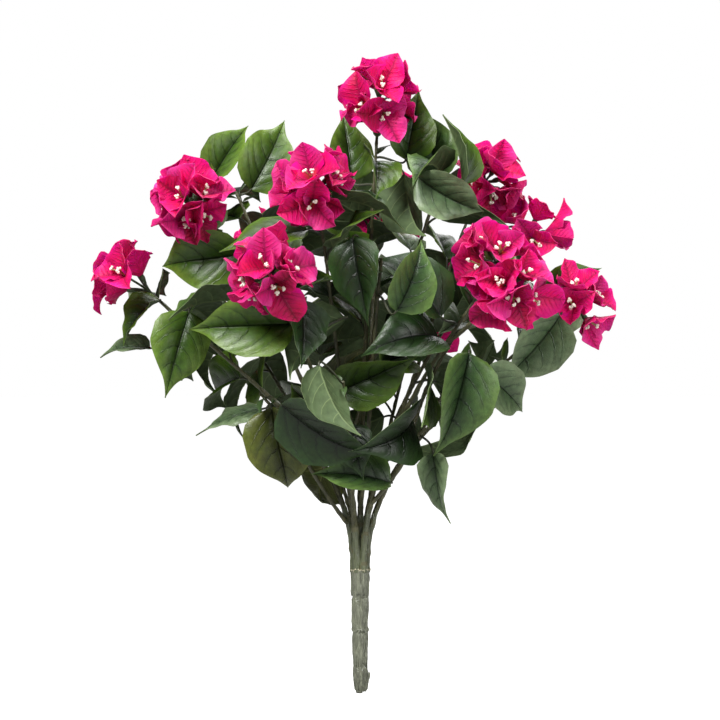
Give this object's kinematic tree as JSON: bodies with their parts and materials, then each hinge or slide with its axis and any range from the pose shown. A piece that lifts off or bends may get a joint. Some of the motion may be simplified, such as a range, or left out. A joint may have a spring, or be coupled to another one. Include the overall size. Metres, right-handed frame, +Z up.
{
  "type": "artificial bougainvillea bush",
  "caption": "Artificial bougainvillea bush on a moulded stem, with spreading boughs, heart-shaped green leaves and heads of magenta bracts.",
  "frame": {"origin": "middle of the flat foot of the stem", "axes": "+Z up along the stem, -Y towards the viewer of the picture, +X to the viewer's right"},
  "size_m": [0.4572, 0.3324, 0.5533],
  "materials": {
    "bark": "satin grey-green moulded plastic",
    "foliage": "coated leaf fabric, satin"
  },
  "bodies": {
    "root": {"stem": "bark", "bough_top": "bark", "bough_left": "bark", "bough_front_left": "bark", "bough_front_right": "bark", "bough_right": "bark", "bough_back_right": "bark", "bough_back_left": "bark", "bough_upper_left": "bark", "bough_high_left": "bark", "bough_front_top": "bark", "bough_right_low": "bark", "bough_upper_right": "bark", "bough_high_right": "bark", "bough_right_high": "bark", "bough_back_top": "bark", "bough_back_low": "bark", "bough_far_back_left": "bark", "bough_low_left": "bark", "bough_low_right": "bark", "bough_low_front": "bark", "bough_middle_front": "bark", "bough_low_back": "bark", "spray_top": "foliage", "spray_left": "foliage", "spray_front_left": "foliage", "spray_front_right": "foliage", "spray_right": "foliage", "spray_back_right": "foliage", "spray_back_left": "foliage", "spray_upper_left": "foliage", "spray_high_left": "foliage", "spray_front_top": "foliage", "spray_right_low": "foliage", "spray_upper_right": "foliage", "spray_high_right": "foliage", "spray_right_high": "foliage", "spray_back_top": "foliage", "spray_back_low": "foliage", "spray_far_back_left": "foliage", "spray_low_left": "foliage", "spray_low_right": "foliage", "spray_low_front": "foliage", "spray_middle_front": "foliage", "spray_low_back": "foliage"}
  },
  "joints": []
}
